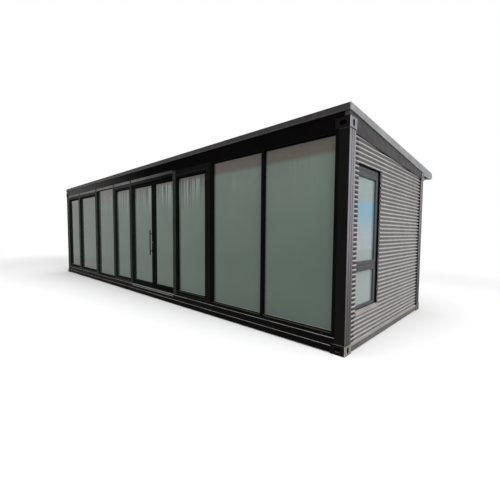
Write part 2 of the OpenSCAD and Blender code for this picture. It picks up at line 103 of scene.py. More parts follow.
class Finish:
    """One procedural material: a Principled shader, with short calls that add nodes to it."""

    def __init__(self, name, **sockets):
        self.material = bpy.data.materials.new(name)
        self.material.use_nodes = True
        self.tree = self.material.node_tree
        self.shader = self.tree.nodes["Principled BSDF"]
        for socket, value in sockets.items():
            self.shader.inputs[socket.replace("_", " ")].default_value = value
        coords = self.tree.nodes.new("ShaderNodeTexCoord")
        self.place = coords.outputs["Object"]
        self.facing = coords.outputs["Normal"]
        self.tone = None

    def plug(self, socket, value):
        """Links an output to a socket, or sets the socket's value."""
        if isinstance(value, bpy.types.NodeSocket):
            self.tree.links.new(value, socket)
        elif hasattr(value, "__len__") and len(value) == 3 and socket.type == "RGBA":
            socket.default_value = (*value, 1)
        else:
            socket.default_value = value

    def math(self, operation, a, b=0.0):
        node = self.tree.nodes.new("ShaderNodeMath")
        node.operation = operation
        self.plug(node.inputs[0], a)
        self.plug(node.inputs[1], b)
        return node.outputs[0]

    def times(self, a, b):
        return self.math("MULTIPLY", a, b)

    def axis(self, name, source=None):
        """One coordinate of the place, or of another vector."""
        node = self.tree.nodes.new("ShaderNodeSeparateXYZ")
        self.plug(node.inputs[0], source or self.place)
        return node.outputs[name]

    def fade(self, value, start, end, low=0.0, high=1.0):
        """Goes smoothly from low to high as the value goes from start to end."""
        node = self.tree.nodes.new("ShaderNodeMapRange")
        node.interpolation_type = "SMOOTHSTEP"
        for socket, number in zip(node.inputs[:5], (value, start, end, low, high)):
            self.plug(socket, number)
        return node.outputs[0]

    def noise(self, scale, stretch=(1, 1, 1), detail=3.0, roughness=0.55):
        """Noise with about scale blotches a metre, and that many times stretch along each axis."""
        mapping = self.tree.nodes.new("ShaderNodeMapping")
        self.plug(mapping.inputs["Vector"], self.place)
        mapping.inputs["Scale"].default_value = stretch
        node = self.tree.nodes.new("ShaderNodeTexNoise")
        self.plug(node.inputs["Vector"], mapping.outputs[0])
        node.inputs["Scale"].default_value = scale
        node.inputs["Detail"].default_value = detail
        node.inputs["Roughness"].default_value = roughness
        return node.outputs["Fac"]

    def blotches(self, scale, low=0.0, high=1.0, **noise):
        """Noise that fills the span from low to high."""
        return self.fade(self.noise(scale, **noise), 0.3, 0.7, low, high)

    def mix(self, share, a, b):
        """Colour a where the share is 0, and b where it is 1."""
        node = self.tree.nodes.new("ShaderNodeMix")
        node.data_type = "RGBA"
        self.plug(node.inputs[0], share)
        self.plug(node.inputs[6], a)
        self.plug(node.inputs[7], b)
        return node.outputs[2]

    def color(self, share, a, b):
        """Starts the coat's colour as a mix of two."""
        self.tone = self.mix(share, a, b)
        self.plug(self.shader.inputs["Base Color"], self.tone)

    def over(self, share, color):
        """Lays a colour over the coat's colour, as much as the share says."""
        self.color(share, self.tone, color)

    def rough(self, value):
        self.plug(self.shader.inputs["Roughness"], value)

    def bump(self, height, depth):
        node = self.tree.nodes.new("ShaderNodeBump")
        node.inputs["Distance"].default_value = depth
        self.plug(node.inputs["Height"], height)
        self.plug(self.shader.inputs["Normal"], node.outputs[0])

    def grain(self, scale, depth):
        """Fine even bump, as of sprayed paint."""
        self.bump(self.noise(scale, detail=1.0), depth)

    def dust(self, share):
        """Patchy share of dust, which lies on faces that look up."""
        lying = self.fade(self.axis("Z", self.facing), 0.55, 0.95)
        patches = self.fade(self.noise(6.0), 0.35, 0.7, 0.65, 1.0)
        return self.times(self.times(lying, patches), share)


BLACK = (0.0036, 0.0032, 0.0032)
DUST = (0.16, 0.15, 0.14)
LIP_HIGHLIGHT = (0.33, 0.32, 0.31)


def paint(name, color, dust_color=DUST, dust_share=0.6, rough=0.5, gloss=0.3, mottle=0.18, runs=0.0):
    """Sprayed satin paint: slight blotches, orange peel, dust on upward faces and faint rain runs."""
    coat = Finish(name, Specular_IOR_Level=gloss)
    dark = [channel * (1 - mottle) for channel in color]
    light = [channel * (1 + mottle) for channel in color]
    coat.color(coat.blotches(2.2, detail=4.0), dark, light)
    if runs:
        coat.over(coat.fade(coat.noise(14.0, stretch=(1, 1, 0.06)), 0.5, 0.72, 0.0, runs), dust_color)
    lying = coat.dust(dust_share)
    coat.over(lying, dust_color)
    worn = coat.blotches(9.0, rough - 0.06, rough + 0.07, detail=5.0)
    coat.rough(coat.mix(lying, worn, (0.85, 0.85, 0.85)))
    coat.grain(420.0, 0.12 * MM)
    return coat


def black_steel():
    """Near-black paint, with a patchy painted highlight in light grey on the lips that stand out of the
    front and the back.
    """
    coat = paint("black_steel_paint", BLACK, dust_share=0.55, gloss=0.02)
    front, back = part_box("front_base_rail")[0].y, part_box("back_base_rail")[1].y
    y = coat.axis("Y")
    # painted highlight: light grey on the lips at the front and back faces
    proud = coat.math("MAXIMUM", coat.fade(y, front + 4 * MM, front + 2 * MM),
                      coat.fade(y, back - 4 * MM, back - 2 * MM))
    coat.over(coat.times(proud, coat.blotches(7.0, 0.45, 1.0, detail=5.0)), LIP_HIGHLIGHT)
    return coat


def post_paint():
    """The posts and castings are black to the front and grey to the ends, and darker low down."""
    coat = Finish("post_paint", Specular_IOR_Level=0.03)
    along, z = coat.math("ABSOLUTE", coat.axis("X")), coat.axis("Z")
    low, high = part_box("base_castings")
    end_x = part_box("front_posts")[1].x
    black = coat.mix(coat.noise(2.2), BLACK, [2.2 * channel for channel in BLACK])
    grey = coat.mix(coat.blotches(9.0, stretch=(1, 1, 0.2), detail=4.0),
                    (0.19, 0.187, 0.205), (0.25, 0.247, 0.27))
    grey = coat.mix(coat.fade(z, 0.3, 2.0, 0.95, 0.0), grey, (0.075, 0.07, 0.069))
    on_casting = coat.fade(z, high.z + 2 * MM, high.z - 2 * MM, 0.0, 0.8)
    grey = coat.mix(on_casting, grey, (0.27, 0.255, 0.225))
    endwise = coat.fade(coat.math("ABSOLUTE", coat.axis("X", coat.facing)), 0.5, 0.75)
    coat.color(coat.times(endwise, coat.fade(along, end_x - 15 * MM, end_x - 8 * MM)), black, grey)
    middle = (low + high) / 2
    across = coat.math("ABSOLUTE", coat.math("SUBTRACT", coat.axis("Y"), middle.y))
    half_d = high.y - middle.y
    corner = coat.times(coat.fade(along, high.x - 8 * MM, high.x - 3 * MM),
                        coat.fade(across, half_d - 8 * MM, half_d - 3 * MM))
    rubbed = coat.times(corner, coat.fade(coat.noise(11.0, detail=5.0), 0.3, 0.6, 0.4, 1.0))
    coat.over(rubbed, (0.42, 0.4, 0.36))
    coat.over(coat.dust(0.6), DUST)
    coat.rough(coat.blotches(9.0, 0.42, 0.56, detail=5.0))
    coat.grain(420.0, 0.12 * MM)
    return coat


def painted_reflection_coat(name, near, far, start, end):
    """Powder coat that goes from one colour to another along the cabin, in patches, as a painted
    reflection.
    """
    coat = paint(name, near, dust_share=0.4, rough=0.6, gloss=0.0, mottle=0.1)
    # painted reflection: the far colour takes over along X between start and end
    share = coat.fade(coat.axis("X"), start, end)
    coat.over(coat.times(share, coat.blotches(5.0, 0.85, 1.0, detail=4.0)), far)
    return coat


def window_coat():
    """Bluer and paler powder coat of the end window, with painted shade on its back jamb."""
    coat = paint("window_coat", (0.062, 0.065, 0.074), dust_share=0.4, rough=0.45, gloss=0.1, mottle=0.1)
    pane_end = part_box("window_glass")[1].y
    # painted shade: darker on the back jamb of the window
    jamb = coat.fade(coat.axis("Y"), pane_end - 20 * MM, pane_end + 5 * MM, 0.0, 0.85)
    coat.over(jamb, (0.012, 0.013, 0.018))
    return coat


def sheet_coat():
    """Coat of the corrugated sheet: warm grey crests, painted shade in the troughs and on faces that look
    down, painted shadow in the troughs by the cut ends, and faint rain runs.
    """
    coat = Finish("sheet_coat", Specular_IOR_Level=0.25)
    y, z = coat.axis("Y"), coat.axis("Z")
    coat.color(coat.blotches(1.1, detail=4.0), (0.33, 0.313, 0.31), (0.41, 0.392, 0.385))
    runs = coat.fade(coat.noise(11.0, stretch=(1, 1, 0.07), detail=4.0), 0.48, 0.75, 0.0, 0.3)
    coat.over(runs, (0.24, 0.23, 0.225))
    turn = coat.times(coat.math("SUBTRACT", z, SHEET_FOOT), 2 * math.pi / WAVE_PITCH)
    crest = coat.math("COSINE", turn)
    # painted shade: darker in the troughs and on the faces that look down
    coat.over(coat.fade(crest, 0.35, -0.8, 0.0, 0.9), (0.07, 0.066, 0.066))
    coat.over(coat.fade(coat.axis("Z", coat.facing), 0.15, -0.6, 0.0, 0.75), (0.06, 0.056, 0.056))
    # painted shadow: black troughs near the cut ends of the right sheet, at the window and at its back edge
    sheet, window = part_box("right_cladding")[1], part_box("window_frame")[0]
    cut = coat.math("MAXIMUM", coat.fade(y, window.y + 20 * MM, window.y - 20 * MM),
                    coat.fade(y, sheet.y - 70 * MM, sheet.y - 45 * MM))
    cut = coat.times(cut, coat.fade(coat.axis("X"), sheet.x - 60 * MM, sheet.x - 50 * MM))
    coat.over(coat.times(cut, coat.fade(crest, 0.3, -0.1)), (0.003, 0.003, 0.003))
    low = coat.fade(z, 0.55, 0.1, 0.0, 0.35)
    coat.over(coat.times(low, coat.fade(coat.noise(7.0, detail=5.0), 0.4, 0.65)), (0.2, 0.18, 0.155))
    coat.rough(coat.blotches(8.0, 0.38, 0.52, detail=5.0))
    coat.grain(600.0, 0.05 * MM)
    return coat


def edge_trim():
    """Satin light grey flashing with a slight spangle."""
    coat = Finish("edge_trim_coat", Specular_IOR_Level=0.3)
    coat.color(coat.blotches(3.0, detail=5.0), (0.165, 0.168, 0.175), (0.235, 0.24, 0.25))
    grime = coat.fade(coat.noise(10.0, stretch=(1, 0.25, 1), detail=5.0), 0.45, 0.7, 0.0, 0.6)
    coat.over(grime, (0.12, 0.12, 0.12))
    coat.rough(coat.blotches(30.0, 0.34, 0.5))
    coat.grain(350.0, 0.06 * MM)
    return coat


def film_glass():
    """Sealed glass behind a grey-green film, with a painted reflection streaked from the top and along it,
    painted shade towards the left end, and a faint wave in the pane.
    """
    coat = Finish("film_glass", Roughness=0.07, Specular_IOR_Level=0.35)
    x, z = coat.axis("X"), coat.axis("Z")
    coat.color(coat.fade(z, 0.2, 2.3), (0.083, 0.124, 0.094), (0.128, 0.172, 0.14))
    coat.over(coat.blotches(1.3, 0.0, 0.3), (0.075, 0.112, 0.088))
    # painted reflection: pale and dark streaks that run down ragged from the top, left of the two widest
    # panes
    left = coat.fade(x, 2.65, 2.5, 0.05, 1.0)
    fine = coat.noise(30.0, stretch=(1, 1, 0.012), detail=1.0)
    broad = coat.noise(12.0, stretch=(1, 1, 0.03), detail=2.0)
    streak = coat.math("ADD", coat.times(fine, 0.85), coat.times(broad, 0.15))
    ragged = coat.math("ADD", z, coat.blotches(26.0, -0.2, 0.2, stretch=(1, 1, 0.01)))
    upper = coat.times(coat.fade(ragged, 1.72, 2.2), left)
    coat.over(coat.times(coat.fade(streak, 0.5, 0.58, 0.0, 0.6), upper), (0.3, 0.34, 0.31))
    coat.over(coat.times(coat.fade(streak, 0.48, 0.4, 0.0, 0.5), upper), (0.06, 0.075, 0.066))
    # painted shade: darker towards the left end, and most in the last pane
    coat.over(coat.fade(x, 1.8, -4.0, 0.0, 0.95), (0.034, 0.058, 0.036))
    coat.over(coat.fade(x, -3.7, -4.1, 0.0, 0.85), (0.005, 0.016, 0.006))
    # painted reflection: a dark edge above the streaks, and a brown band along the top
    ragged_top = coat.math("SUBTRACT", z, coat.fade(fine, 0.35, 0.65, 0.0, 0.35))
    coat.over(coat.times(coat.fade(ragged_top, 1.98, 2.2, 0.0, 0.6), left), (0.045, 0.043, 0.04))
    coat.over(coat.fade(z, 2.26, 2.34, 0.0, 0.85), (0.09, 0.068, 0.056))
    coat.bump(coat.noise(1.6, detail=0.0), 0.9 * MM)
    return coat


def window_glass():
    """Tinted glass of the end window, with a painted reflection: pale at the top and bottom, with a blue
    band between.
    """
    coat = Finish("window_glass", Roughness=0.03, IOR=1.5, Transmission_Weight=0.35)
    z = coat.axis("Z")
    # painted reflection in bands by height: pale at the top, a blue band, then pale below
    coat.color(coat.fade(z, 1.79, 1.77), (0.26, 0.36, 0.35), (0.15, 0.4, 0.55))
    coat.over(coat.fade(z, 1.72, 1.3), (0.36, 0.43, 0.47))
    coat.over(coat.fade(z, 1.2, 1.16), (0.3, 0.38, 0.36))
    coat.over(coat.fade(coat.noise(4.0), 0.4, 0.7, 0.0, 0.15), (0.28, 0.38, 0.38))
    coat.bump(coat.noise(2.0, detail=0.0), 0.6 * MM)
    return coat


def floor_board():
    """Sealed boards with a grain along the cabin."""
    coat = Finish("floor_board", Specular_IOR_Level=0.4)
    grain = coat.noise(5.0, stretch=(0.7, 9.0, 1), detail=6.0, roughness=0.65)
    coat.color(coat.fade(grain, 0.3, 0.7), (0.2, 0.125, 0.07), (0.38, 0.27, 0.165))
    coat.over(coat.fade(coat.noise(1.5), 0.4, 0.7, 0.0, 0.3), (0.28, 0.2, 0.13))
    coat.rough(coat.fade(grain, 0.3, 0.7, 0.38, 0.5))
    coat.bump(grain, 0.2 * MM)
    return coat


def white_lining(name, color):
    """Coated steel face of the panels, with a little grime."""
    coat = Finish(name, Specular_IOR_Level=0.4)
    grimy = [0.86 * channel for channel in color]
    coat.color(coat.fade(coat.noise(2.5, detail=5.0), 0.35, 0.75), color, grimy)
    coat.rough(coat.blotches(12.0, 0.4, 0.52))
    coat.grain(500.0, 0.05 * MM)
    return coat


def brushed_plate():
    """Mill-finish aluminium, brushed along the cabin and scuffed by feet."""
    coat = Finish("brushed_plate", Metallic=1.0)
    brushed = coat.noise(60.0, stretch=(0.05, 6, 6), detail=4.0)
    coat.color(brushed, (0.34, 0.34, 0.33), (0.56, 0.56, 0.55))
    coat.over(coat.fade(coat.noise(25.0, detail=5.0), 0.55, 0.7, 0.0, 0.5), (0.25, 0.24, 0.22))
    coat.rough(coat.fade(brushed, 0.3, 0.7, 0.32, 0.5))
    coat.bump(brushed, 0.05 * MM)
    return coat


def rubber():
    coat = Finish("rubber", Specular_IOR_Level=0.25)
    coat.color(coat.noise(40.0), (0.006, 0.006, 0.006), (0.016, 0.016, 0.015))
    coat.rough(coat.blotches(15.0, 0.6, 0.8))
    coat.bump(coat.noise(300.0), 0.1 * MM)
    return coat


def zinc():
    """Dull zinc of screws and bolts."""
    coat = Finish("zinc", Metallic=1.0)
    coat.color(coat.noise(90.0), (0.3, 0.3, 0.31), (0.5, 0.5, 0.51))
    coat.rough(coat.blotches(120.0, 0.38, 0.55))
    coat.bump(coat.noise(700.0), 0.04 * MM)
    return coat


FINISHES = {
    "black_steel": black_steel(),
    "post": post_paint(),
    "rail_grey": paint("rail_grey_paint", (0.085, 0.08, 0.078), (0.2, 0.19, 0.18), gloss=0.25, runs=0.25),
    "dark_grey": paint("dark_grey_paint", (0.034, 0.032, 0.032), (0.16, 0.155, 0.15), gloss=0.12,
                       runs=0.08),
    "window_coat": window_coat(),
    # the next four coats grow paler towards the left end as a painted reflection
    "top_rail": painted_reflection_coat("top_rail_paint", BLACK, (0.09, 0.087, 0.086), 0.9, -5.0),
    "sash_profile": painted_reflection_coat("sash_coat", (0.004, 0.0046, 0.0042), (0.011, 0.014, 0.0125), 2.2, -1.5),
    "head_profile": painted_reflection_coat("head_coat", (0.007, 0.0075, 0.007), (0.05, 0.051, 0.05), 1.6, -1.5),
    "head_flashing": painted_reflection_coat("head_flashing_coat", (0.05, 0.048, 0.05), (0.17, 0.168, 0.17), 1.6, -0.8),
    "window_profile": paint("profile_coat", (0.0105, 0.0165, 0.0135), dust_share=0.5, rough=0.48,
                            gloss=0.05, mottle=0.1),
    "corrugated_sheet": sheet_coat(),
    "edge_trim": edge_trim(),
    "sheet_flashing": paint("sheet_flashing_coat", (0.3, 0.284, 0.278), (0.24, 0.225, 0.21), dust_share=0.4,
                            rough=0.45, gloss=0.25, runs=0.3),
    "film_glass": film_glass(),
    "clear_glass": window_glass(),
    "roof_sheet": paint("roof_sheet_coat", (0.28, 0.285, 0.29), (0.3, 0.285, 0.26), dust_share=0.35,
                        rough=0.42, gloss=0.4, mottle=0.1),
    "floor_board": floor_board(),
    "ceiling_board": white_lining("ceiling_coat", (0.62, 0.62, 0.61)),
    "wall_panel": white_lining("panel_coat", (0.6, 0.6, 0.58)),
    "threshold_plate": brushed_plate(),
    "hardware": paint("hardware_coat", (0.005, 0.005, 0.005), dust_share=0.3, rough=0.38, gloss=0.06,
                      mottle=0.2),
    "rubber": rubber(),
    "zinc": zinc(),
}


# ---------------- mesh helpers

def along_x(pair, x):
    """Place of an outline's (y, z) pair at a distance along X."""
    return x, *pair


def along_y(pair, y):
    """Place of an outline's (x, z) pair at a distance along Y."""
    return pair[0], y, pair[1]


def along_z(pair, z):
    """Place of an outline's (x, y) pair at a height."""
    return *pair, z


def shape(pairs, start=(0, 0), signs=(1, 1)):
    """Outline in metres from pairs of millimetres, counted from a start towards either side."""
    return [(start[0] + signs[0] * a * MM, start[1] + signs[1] * b * MM) for a, b in pairs]


def block(bm, low, high):
    """Adds a closed box between two corners."""
    corners = [bm.verts.new((x, y, z))
               for x in (low[0], high[0]) for y in (low[1], high[1]) for z in (low[2], high[2])]
    for ring in ((0, 1, 3, 2), (4, 6, 7, 5), (0, 4, 5, 1), (2, 3, 7, 6), (0, 2, 6, 4), (1, 5, 7, 3)):
        bm.faces.new([corners[i] for i in ring])


def extrusion(bm, outline, start, end, place=along_x):
    """Closed prism: an outline of pairs, with place(pair, distance) giving each corner."""
    first = [bm.verts.new(place(pair, start)) for pair in outline]
    last = [bm.verts.new(place(pair, end)) for pair in outline]
    count = len(outline)
    for i in range(count):
        j = (i + 1) % count
        bm.faces.new((first[i], first[j], last[j], last[i]))
    bm.faces.new(first[::-1])
    bm.faces.new(last)


def turned(bm, centre, axis, outline, sides=16):
    """Closed turned shape: (radius, height) pairs spun round an axis, from the centre outwards."""
    turn = Vector(axis).to_track_quat("Z", "Y").to_matrix()
    rings = []
    for radius, height in outline:
        angles = [2 * math.pi * i / sides for i in range(sides if radius else 1)]
        rings.append([bm.verts.new(Vector(centre) + turn @ Vector((
            radius * math.cos(angle), radius * math.sin(angle), height))) for angle in angles])
    for low, high in zip(rings, rings[1:]):
        for i in range(sides):
            j = (i + 1) % sides
            if len(low) == 1:
                bm.faces.new((low[0], high[i], high[j]))
            elif len(high) == 1:
                bm.faces.new((low[i], low[j], high[0]))
            else:
                bm.faces.new((low[i], low[j], high[j], high[i]))


def swept_ring(bm, low, high, outline, place=along_x):
    """Mitred ring between two corners of a wall; its outline is (distance inwards, depth) pairs."""
    axis = 0 if place is along_x else 1
    loops = []
    for inward, depth in outline:
        near, far = low[axis] + inward, high[axis] - inward
        foot, head = low[2] + inward, high[2] - inward
        loops.append([bm.verts.new(place((depth, z), a))
                      for a, z in ((near, foot), (far, foot), (far, head), (near, head))])
    for one, two in zip(loops, loops[1:] + loops[:1]):
        for i in range(4):
            j = (i + 1) % 4
            bm.faces.new((one[i], one[j], two[j], two[i]))


def cut_off(bm, centre, normal):
    """Cuts the mesh at a plane, and drops what lies on the side that the normal points to."""
    return bmesh.ops.bisect_plane(
        bm, geom=bm.verts[:] + bm.edges[:] + bm.faces[:], dist=1e-6,
        plane_co=centre, plane_no=normal, clear_outer=True)


def screw(bm, centre, axis, radius=4 * MM):
    """Hexagonal screw head on a washer, standing out along an axis."""
    washer, head = 0.3 * radius, 1.3 * radius
    turned(bm, centre, axis, [(0, 0), (1.6 * radius, 0), (1.6 * radius, washer), (0, washer)], sides=12)
    turned(bm, centre, axis, [
        (0, washer), (radius, washer), (radius, 1.1 * radius), (0.7 * radius, head), (0, head)], sides=6)


def weld(bm, start, end, radius=4 * MM):
    """Lumpy weld bead along a line."""
    line = Vector(end) - Vector(start)
    count = max(3, round(line.length / (1.3 * radius)))
    outline = [(radius * (0.8 + 0.2 * (i % 2)), line.length * i / count) for i in range(count + 1)]
    turned(bm, start, line, [(0, 0), *outline, (0, line.length)], sides=8)


def mesh_of(name, bm):
    mesh = bpy.data.meshes.new(name)
    bm.to_mesh(mesh)
    bm.free()
    return mesh


def in_scene(name, data):
    obj = bpy.data.objects.new(name, data)
    bpy.context.scene.collection.objects.link(obj)
    return obj


def soften(obj, width):
    """Rounds an object's sharp edges."""
    bevel = obj.modifiers.new("edges", "BEVEL")
    bevel.width = width
    bevel.segments = 2
    bevel.limit_method = "ANGLE"
    bevel.angle_limit = EDGE_ANGLE
    bevel.use_clamp_overlap = True
    bevel.harden_normals = True


def piece(name, bm, finish, slot, body="cabin", bevel=0.0, replaces=()):
    """Makes an object of a bmesh, which rides on a body and may hide CAD nodes in its place."""
    bmesh.ops.recalc_face_normals(bm, faces=bm.faces)
    mesh = mesh_of(name, bm)
    mesh.materials.append(FINISHES[finish].material)
    for polygon in mesh.polygons:
        polygon.use_smooth = True
    mesh.set_sharp_from_angle(angle=EDGE_ANGLE)
    obj = in_scene(name, mesh)
    if bevel:
        soften(obj, bevel)
    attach(obj, body)
    if replaces:
        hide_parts(*replaces)


# ---------------- CAD pieces that only get a finish

def clean_copy(node):
    """The CAD node's mesh as whole faces: welded, with no edges across flat faces."""
    bm = welded(node)
    bmesh.ops.dissolve_limit(bm, angle_limit=math.radians(1), verts=bm.verts, edges=bm.edges)
    return bm


# finish of each node, and the width of its rounded edges in millimetres
DRESSED = {
    "base_castings": ("post", 5), "top_castings": ("post", 5),
    "front_posts": ("post", 4), "back_posts": ("post", 4),
    "front_base_rail": ("black_steel", 1.5), "back_base_rail": ("black_steel", 1.5),
    "end_base_rails": ("rail_grey", 4), "front_top_rail": ("top_rail", 4),
    "back_top_rail": ("black_steel", 4), "end_top_rails": ("dark_grey", 4),
    "floor_joists": ("black_steel", 3), "front_sill": ("black_steel", 1.5),
    "front_column": ("black_steel", 3), "mullions": ("window_profile", 3),
    "glazing_heads": ("head_profile", 2), "door_head": ("head_profile", 2),
    "fixed_light_frames": ("sash_profile", 2), "vent_frames": ("sash_profile", 3),
    "window_frame": ("window_coat", 2),
    "right_leaf_frame": ("sash_profile", 1.5), "left_leaf_frame": ("sash_profile", 1.5),
    "jamb_hinges": ("hardware", 0.8), "roof_rafters": ("dark_grey", 2),
    "eaves_beams": ("top_rail", 2), "ceiling": ("ceiling_board", 1),
    "back_wall": ("wall_panel", 1.5), "left_wall": ("wall_panel", 1.5),
    "right_wall": ("wall_panel", 1.5), "right_wall_infill": ("wall_panel", 1.5),
}

bodies = frame["record"]["behaviour"]["bodies"]
node_slots = {part["node"]: part["material_slot"] for part in frame["record"]["subparts"]}
node_bodies = {node: body for body, nodes in bodies.items() for node in nodes}

for node, (finish, edge) in DRESSED.items():
    piece(node + "_dressed", clean_copy(node), finish, node_slots[node],
          body=node_bodies[node], bevel=edge * MM, replaces=[node])

for node in ("fixed_light_glass", "vent_glass", "right_leaf_glass", "left_leaf_glass"):
    frame["nodes"][node].data.materials[0] = FINISHES["film_glass"].material
frame["nodes"]["window_glass"].data.materials[0] = FINISHES["clear_glass"].material


# ---------------- steel frame

def frame_welds():
    """Weld beads where the rails meet the castings and the posts stand on them."""
    bm = bmesh.new()
    for rail, castings in (("base_rail", "base_castings"), ("top_rail", "top_castings")):
        for side, outer in (("front", 0), ("back", 1)):
            low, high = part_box(f"{side}_{rail}")
            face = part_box(f"{side}_posts")[outer].y
            casting = next(box for box in solids(castings) if (box[0].y > 0) == bool(outer))
            foot, head = max(low.z, casting[0].z), min(high.z, casting[1].z)
            for x in (low.x, high.x):
                weld(bm, (x, face, foot), (x, face, head))
    for low, high in solids("front_posts") + solids("back_posts"):
        face = low.y if low.y < 0 else high.y
        end = high.x if high.x > 0 else low.x
        for z in (low.z, high.z):
            weld(bm, (low.x, face, z), (high.x, face, z))
            weld(bm, (end, low.y, z), (end, high.y, z))
    piece("frame_welds", bm, "black_steel", "black_steel")


frame_welds()


# ---------------- glazing

# (distance inwards, depth) of a bead and its gasket, and (depth, height) of a foot strip
BEAD = [(0, 0), (0, 10), (3, 11), (13, 5), (13, 0)]
GASKET = [(13, 0), (13, 3), (16, 2), (16, 0)]
FOOT_STRIP = [(0, 16), (4, 16), (4, 18), (1, 23), (0, 23)]
BEAD_W = 13 * MM


def glazing(name, node, finish, body="cabin", place=along_x, highlight_foot_strips=False):
    """Beads, gaskets and perhaps foot strips, light grey as a painted highlight, on both faces of each pane
    of a node.
    """
    axis = 0 if place is along_x else 1
    beads, gaskets, feet = bmesh.new(), bmesh.new(), bmesh.new()
    for low, high in solids(node):
        for face, out in ((low[1 - axis], -1), (high[1 - axis], 1)):
            swept_ring(beads, low, high, shape(BEAD, (0, face), (1, out)), place)
            swept_ring(gaskets, low, high, shape(GASKET, (0, face), (1, out)), place)
            extrusion(feet, shape(FOOT_STRIP, (face, low.z), (out, 1)),
                      low[axis] + BEAD_W, high[axis] - BEAD_W, place)
    piece(name + "_beads", beads, finish, "window_profile", body)
    piece(name + "_gaskets", gaskets, "rubber", "window_profile", body)
    # the foot strips are light grey: a painted highlight along the foot of each pane
    if highlight_foot_strips:
        piece(name + "_highlight_foot_strips", feet, "edge_trim", "window_profile", body)
    else:
        feet.free()


def vent_seals():
    """Seals round each opening vent, and hinge covers near the ends of its sides."""
    cover_in, cover_l = 160 * MM, 70 * MM
    seals, covers = bmesh.new(), bmesh.new()
    cover = shape([(0, 0), (5, 0), (6, 2), (6, 68), (5, 70), (0, 70)])
    for low, high in solids("vent_frames"):
        swept_ring(seals, low, high, shape([(-2, 1), (-2, -1), (2, -1), (2, 1)], (0, low.y)))
        for x in (low.x, high.x):
            for z in (low.z + cover_in, high.z - cover_in):
                turned(covers, (x, low.y - MM, z - cover_l / 2), (0, 0, 1), cover, sides=12)
    piece("vent_seals", seals, "rubber", "window_profile")
    piece("vent_hinge_covers", covers, "hardware", "hardware")


def weep_covers():
    """Small hoods over the drain slots in the bottom bars of the lights and vents."""
    drop, hood_in, half_w = 24 * MM, 120 * MM, 15 * MM
    bm = bmesh.new()
    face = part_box("fixed_light_frames")[0].y
    for low, high in solids("fixed_light_glass") + solids("vent_glass"):
        hood = shape([(0, -4), (-3, -4), (-4, 0), (-2, 4), (0, 5)], (face, low.z - drop))
        for x in (low.x + hood_in, high.x - hood_in):
            extrusion(bm, hood, x - half_w, x + half_w)
    piece("weep_covers", bm, "window_profile", "window_profile")


def head_flashings():
    """Folded flashing over each head, between the mullions, from the door to the left end."""
    door_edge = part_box("door_head")[1].x
    uprights = [(low.x, high.x) for low, high in solids("mullions") + solids("front_posts")
                if high.x < door_edge + MM]
    uprights = sorted([*uprights, (door_edge, door_edge)])
    fold = shape([(4, -36), (-5, -36), (-5, -33), (-2.5, -29), (-2.5, 17), (0, 20), (0, 0), (4, 0)],
                 (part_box("front_column")[0].y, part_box("front_top_rail")[0].z))
    bm = bmesh.new()
    for left, right in zip(uprights, uprights[1:]):
        extrusion(bm, fold, left[1] + 2 * MM, right[0] - 2 * MM)
    piece("head_flashings", bm, "head_flashing", "window_profile")


glazing("fixed_lights", "fixed_light_glass", "sash_profile", highlight_foot_strips=True)
glazing("vents", "vent_glass", "sash_profile", highlight_foot_strips=True)
glazing("right_leaf", "right_leaf_glass", "sash_profile", "right_leaf")
glazing("left_leaf", "left_leaf_glass", "sash_profile", "left_leaf")
vent_seals()
weep_covers()
head_flashings()


# ---------------- door

def pull_handles():
    """Outer and inner pull handles on flanged arms, and a lock with its plug between the arms."""
    arm_in = 85 * MM
    leaf_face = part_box("left_leaf_glass")[0].y - 13 * MM
    leaf_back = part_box("left_leaf_frame")[1].y
    bars, lock = bmesh.new(), bmesh.new()
    for low, high in solids("pull_handles"):
        x, length = (low.x + high.x) / 2, high.z - low.z
        if length > 0.1:
            r = (high.x - low.x) / 2
            outer = low.y < leaf_face
            y, foot, out = (low.y + r, leaf_face, -1) if outer else (high.y - r, leaf_back, 1)
            bar = [(0, 0), (0.7 * r, 0), (r, 3 * MM), (r, length - 3 * MM), (0.7 * r, length), (0, length)]
            turned(bars, (x, y, low.z), (0, 0, 1), bar, sides=24)
            reach = abs(y - foot) - 0.6 * r
            arm = shape([(0, 0), (19, 0), (19, 4), (14, 7), (10, 9)]) + [(10 * MM, reach), (0, reach)]
            for z in (low.z + arm_in, high.z - arm_in):
                turned(bars, (x, foot, z), (0, out, 0), arm, sides=20)
        else:
            centre = (x, high.y, (low.z + high.z) / 2)
            turned(bars, centre, (0, -1, 0), shape([(0, 0), (14, 0), (14, 4), (11, 6), (0, 6)]), sides=24)
            turned(lock, centre, (0, -1, 0), shape([(0, 5), (8, 5), (8, 7.4), (7, 8), (0, 8)]), sides=20)
    piece("pull_handle_bars", bars, "hardware", "hardware", "left_leaf", replaces=["pull_handles"])
    piece("door_lock_plug", lock, "zinc", "hardware", "left_leaf", bevel=0.3 * MM)


def leaf_screws(body):
    """Two screws in each hinge plate of a leaf."""
    screw_in, plate_out, heights = 26 * MM, 16.5 * MM, (14 * MM, 46 * MM)
    low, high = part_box(body + "_frame")
    right = body == "right_leaf"
    x = high.x - screw_in if right else low.x + screw_in
    plate_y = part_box(body + "_glass")[0].y - plate_out
    head = shape([(0, 0), (4, 0), (4, 0.8), (2.4, 1.5), (0, 1.5)])
    bm = bmesh.new()
    for hinge_low, hinge_high in solids("jamb_hinges"):
        if (hinge_low.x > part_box("left_leaf_frame")[1].x) == right:
            middle = (hinge_low.z + hinge_high.z) / 2
            for above in heights:
                turned(bm, (x, plate_y, middle + above), (0, -1, 0), head, sides=12)
    piece(body + "_hinge_screws", bm, "zinc", "hardware", body)


